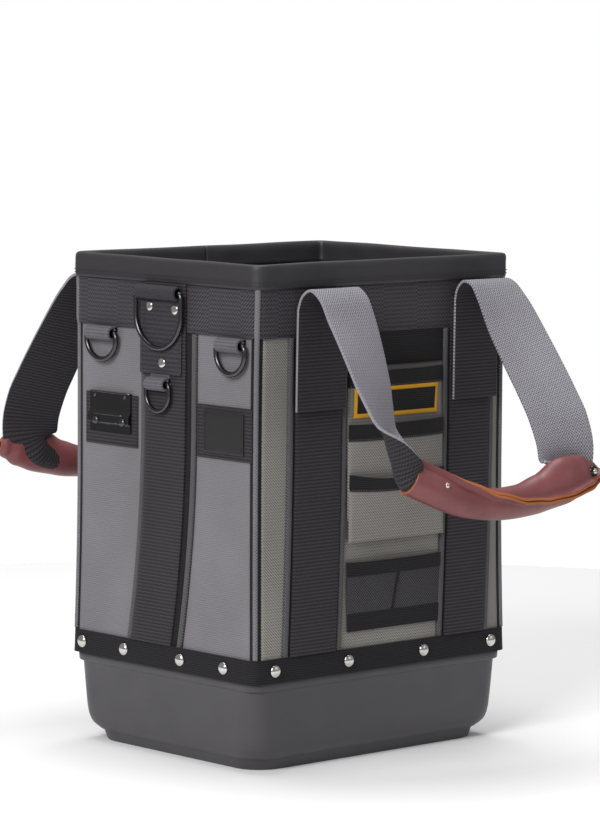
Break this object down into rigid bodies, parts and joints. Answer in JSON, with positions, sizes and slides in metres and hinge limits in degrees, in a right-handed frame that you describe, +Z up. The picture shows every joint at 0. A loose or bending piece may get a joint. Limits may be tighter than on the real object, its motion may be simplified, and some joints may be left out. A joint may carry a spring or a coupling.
{
  "type": "open top tool tote",
  "caption": "Tall open tool tote: cloth body on a moulded base tray, webbing straps, loop handles with leather grips, front pockets and D-rings.",
  "frame": {"origin": "middle of the flat underside of the base tray, on the surface the bag stands on", "axes": "+Z up; X along the wide sides, with the pockets facing -Y and the D-rings facing -X"},
  "size_m": [0.3176, 0.5256, 0.44],
  "materials": {
    "base_plastic": "moulded, satin charcoal",
    "gray_cloth": "coarse gray twill",
    "black_cloth": "black ballistic weave",
    "rim_vinyl": "charcoal vinyl binding",
    "piping": "gray herringbone tape",
    "black_webbing": "ribbed black webbing",
    "gray_webbing": "ribbed gray webbing",
    "grip_leather": "burgundy leather, raw edges",
    "pocket_mesh": "black open mesh",
    "label_cloth": "plain patch with amber border",
    "ring_steel": "black nickel",
    "plate_steel": "gloss black",
    "patch_vinyl": "smooth vinyl",
    "rivet_steel": "polished dome"
  },
  "bodies": {
    "bag": {"base_band": "black_webbing", "base_rivet_01": "rivet_steel", "base_rivet_02": "rivet_steel", "base_rivet_03": "rivet_steel", "base_rivet_04": "rivet_steel", "base_rivet_05": "rivet_steel", "base_rivet_06": "rivet_steel", "base_rivet_07": "rivet_steel", "base_rivet_08": "rivet_steel", "base_rivet_09": "rivet_steel", "base_rivet_10": "rivet_steel", "base_rivet_11": "rivet_steel", "base_rivet_12": "rivet_steel", "base_rivet_13": "rivet_steel", "base_rivet_14": "rivet_steel", "base_rivet_15": "rivet_steel", "base_rivet_16": "rivet_steel", "base_tray": "base_plastic", "clip_plate": "plate_steel", "corner_piping_1": "piping", "corner_piping_2": "piping", "corner_piping_3": "piping", "corner_piping_4": "piping", "front_grip": "grip_leather", "front_handle": "gray_webbing", "front_left_strap": "black_webbing", "front_left_strap_backing": "piping", "front_panel": "gray_cloth", "front_right_strap": "black_webbing", "front_right_strap_backing": "piping", "label_patch": "label_cloth", "left_panel": "gray_cloth", "left_patch": "black_webbing", "left_ring_tab": "gray_webbing", "left_strap": "black_webbing", "left_strap_backing": "piping", "mesh_pocket": "pocket_mesh", "pocket_1": "gray_cloth", "pocket_2": "gray_cloth", "pocket_3": "gray_cloth", "rear_grip": "grip_leather", "rear_handle": "gray_webbing", "rear_left_strap": "black_webbing", "rear_left_strap_backing": "piping", "rear_panel": "gray_cloth", "rear_right_strap": "black_webbing", "rear_right_strap_backing": "piping", "right_panel": "gray_cloth", "right_patch": "black_webbing", "right_ring_tab": "gray_webbing", "right_strap": "black_webbing", "rim_binding": "rim_vinyl", "ring_strap": "black_webbing", "small_ring_tab": "black_webbing", "upper_band": "black_cloth", "vinyl_square": "patch_vinyl"},
    "large_ring": {"large_ring": "ring_steel"},
    "small_ring": {"small_ring": "ring_steel"},
    "left_ring": {"left_ring": "ring_steel"},
    "right_ring": {"right_ring": "ring_steel"}
  },
  "joints": [
    {"name": "large_ring_swing", "type": "hinge", "parent": "bag", "child": "large_ring", "pos_m": [-0.15704, -0.001, 0.41], "axis": [0, 1, 0], "range_deg": [0, 160]},
    {"name": "small_ring_swing", "type": "hinge", "parent": "bag", "child": "small_ring", "pos_m": [-0.15731, -0.0006, 0.33], "axis": [0, 1, 0], "range_deg": [0, 150]},
    {"name": "left_ring_swing", "type": "hinge", "parent": "bag", "child": "left_ring", "pos_m": [-0.15348, 0.081, 0.3695], "axis": [0, 1, 0], "range_deg": [0, 160]},
    {"name": "right_ring_swing", "type": "hinge", "parent": "bag", "child": "right_ring", "pos_m": [-0.15348, -0.092, 0.3695], "axis": [0, 1, 0], "range_deg": [0, 160]}
  ]
}
